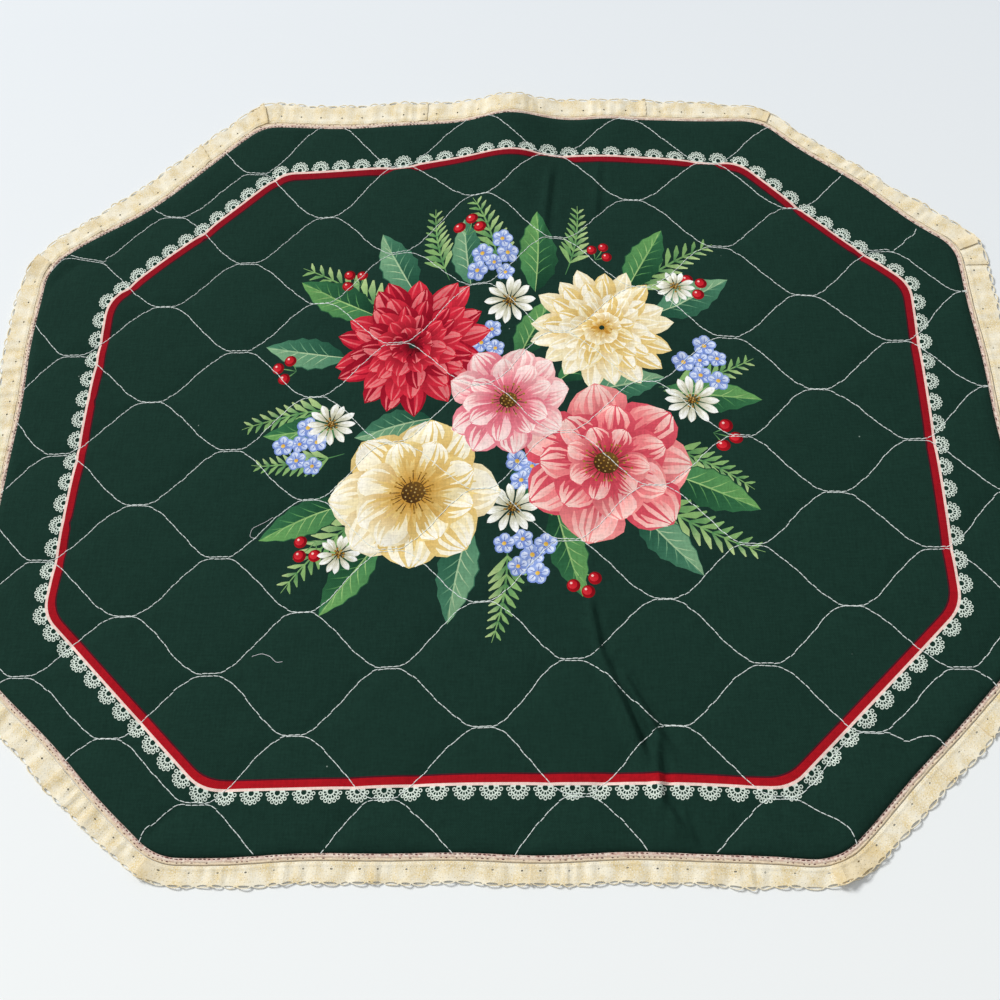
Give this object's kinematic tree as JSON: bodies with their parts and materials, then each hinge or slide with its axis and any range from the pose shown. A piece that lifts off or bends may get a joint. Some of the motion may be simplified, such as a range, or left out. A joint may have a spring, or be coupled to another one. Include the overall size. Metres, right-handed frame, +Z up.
{
  "type": "quilted fabric placemat",
  "caption": "Octagonal quilted cotton placemat with a printed border, lying flat, edged with gathered lace on a narrow heading.",
  "frame": {"origin": "under the middle of the mat, on the surface it lies on", "axes": "+X along the mat's length to the right, +Y away from the diner, +Z up"},
  "size_m": [0.4592, 0.3923, 0.0073],
  "materials": {
    "panel_cotton": "matt printed cotton, bottle green, machine quilted",
    "heading_ribbon": "woven cream-pink strip with two rows of wine-brown stitches",
    "cotton_lace": "ecru net lace, matt",
    "quilting_thread": "white spun thread"
  },
  "bodies": {
    "root": {"quilted_panel": "panel_cotton", "lace_heading": "heading_ribbon", "lace_frill": "cotton_lace"}
  },
  "joints": []
}
